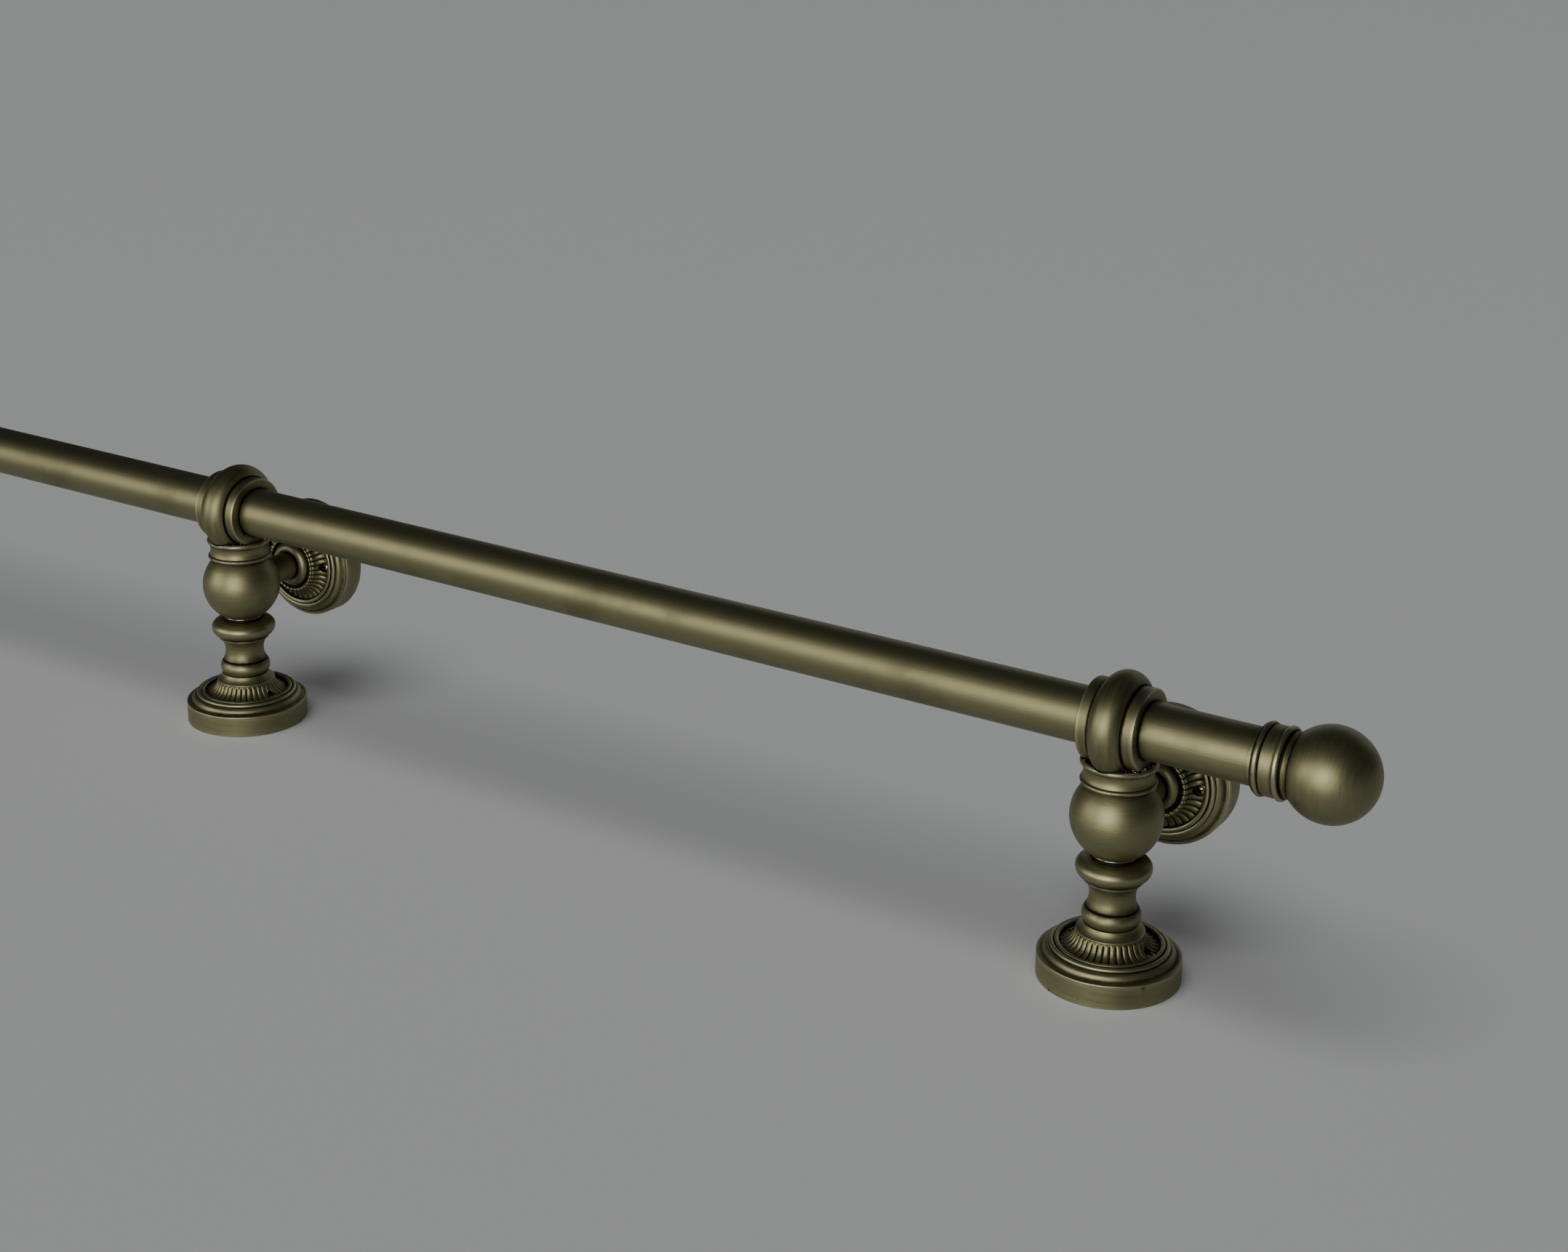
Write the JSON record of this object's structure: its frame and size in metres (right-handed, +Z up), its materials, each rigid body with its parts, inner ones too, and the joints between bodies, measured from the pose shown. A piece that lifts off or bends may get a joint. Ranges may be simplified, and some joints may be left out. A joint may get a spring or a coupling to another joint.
{
  "type": "bar foot rail",
  "caption": "Round brass foot rail on turned ball-and-baluster brackets, each with a reeded floor flange and a short arm to a reeded wall flange; ball finials close the tube ends.",
  "frame": {"origin": "on the floor under the middle bracket's post axis", "axes": "+X along the rail towards its right-hand end, +Y towards the wall, +Z up"},
  "size_m": [2.5398, 0.1828, 0.2849],
  "materials": {
    "antique_brass": "cast and turned, burnished antique brass with dark recesses, satin",
    "tube_brass": "drawn tube, burnished antique brass, satin",
    "screw_brass": "domed heads, polished antique brass",
    "zinc_steel": "zinc-plated, plain"
  },
  "bodies": {
    "root": {"left_arm_nut": "zinc_steel", "left_arm_stud": "zinc_steel", "left_arm_washer": "zinc_steel", "left_end_ball": "antique_brass", "left_end_ferrule": "antique_brass", "left_end_stud": "zinc_steel", "left_floor_flange": "antique_brass", "left_floor_screws": "screw_brass", "left_grub_screw": "zinc_steel", "left_hub_ball": "antique_brass", "left_knop_ring": "antique_brass", "left_neck_collar": "antique_brass", "left_rail_ring": "antique_brass", "left_stem": "antique_brass", "left_tie_nut": "zinc_steel", "left_tie_rod": "zinc_steel", "left_tie_washer": "zinc_steel", "left_wall_arm": "antique_brass", "left_wall_flange": "antique_brass", "left_wall_screws": "screw_brass", "middle_arm_nut": "zinc_steel", "middle_arm_stud": "zinc_steel", "middle_arm_washer": "zinc_steel", "middle_floor_flange": "antique_brass", "middle_floor_screws": "screw_brass", "middle_grub_screw": "zinc_steel", "middle_hub_ball": "antique_brass", "middle_knop_ring": "antique_brass", "middle_neck_collar": "antique_brass", "middle_rail_ring": "antique_brass", "middle_stem": "antique_brass", "middle_tie_nut": "zinc_steel", "middle_tie_rod": "zinc_steel", "middle_tie_washer": "zinc_steel", "middle_wall_arm": "antique_brass", "middle_wall_flange": "antique_brass", "middle_wall_screws": "screw_brass", "rail_tube": "tube_brass", "right_arm_nut": "zinc_steel", "right_arm_stud": "zinc_steel", "right_arm_washer": "zinc_steel", "right_end_ball": "antique_brass", "right_end_ferrule": "antique_brass", "right_end_stud": "zinc_steel", "right_floor_flange": "antique_brass", "right_floor_screws": "screw_brass", "right_grub_screw": "zinc_steel", "right_hub_ball": "antique_brass", "right_knop_ring": "antique_brass", "right_neck_collar": "antique_brass", "right_rail_ring": "antique_brass", "right_stem": "antique_brass", "right_tie_nut": "zinc_steel", "right_tie_rod": "zinc_steel", "right_tie_washer": "zinc_steel", "right_wall_arm": "antique_brass", "right_wall_flange": "antique_brass", "right_wall_screws": "screw_brass"}
  },
  "joints": []
}
